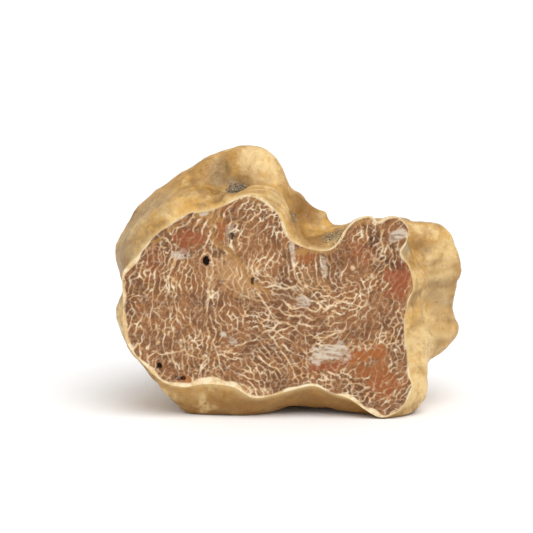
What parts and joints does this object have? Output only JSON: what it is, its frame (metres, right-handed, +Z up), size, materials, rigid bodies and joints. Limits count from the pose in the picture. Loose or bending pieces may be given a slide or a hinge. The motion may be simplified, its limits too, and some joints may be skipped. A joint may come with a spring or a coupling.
{
  "type": "white truffle",
  "caption": "Lobed white truffle cut in half, resting on its underside, with veined brown flesh on the flat cut face and smooth ochre skin behind.",
  "frame": {"origin": "middle of the bounding box in plan, on the surface that the truffle rests on", "axes": "+Z up, the cut face looks towards -Y, +X to the right of someone looking at the cut face"},
  "size_m": [0.0724, 0.041, 0.0548],
  "materials": {
    "truffle": "matt ochre skin, moist veined brown flesh on the cut face"
  },
  "bodies": {
    "root": {"truffle": "truffle"}
  },
  "joints": []
}
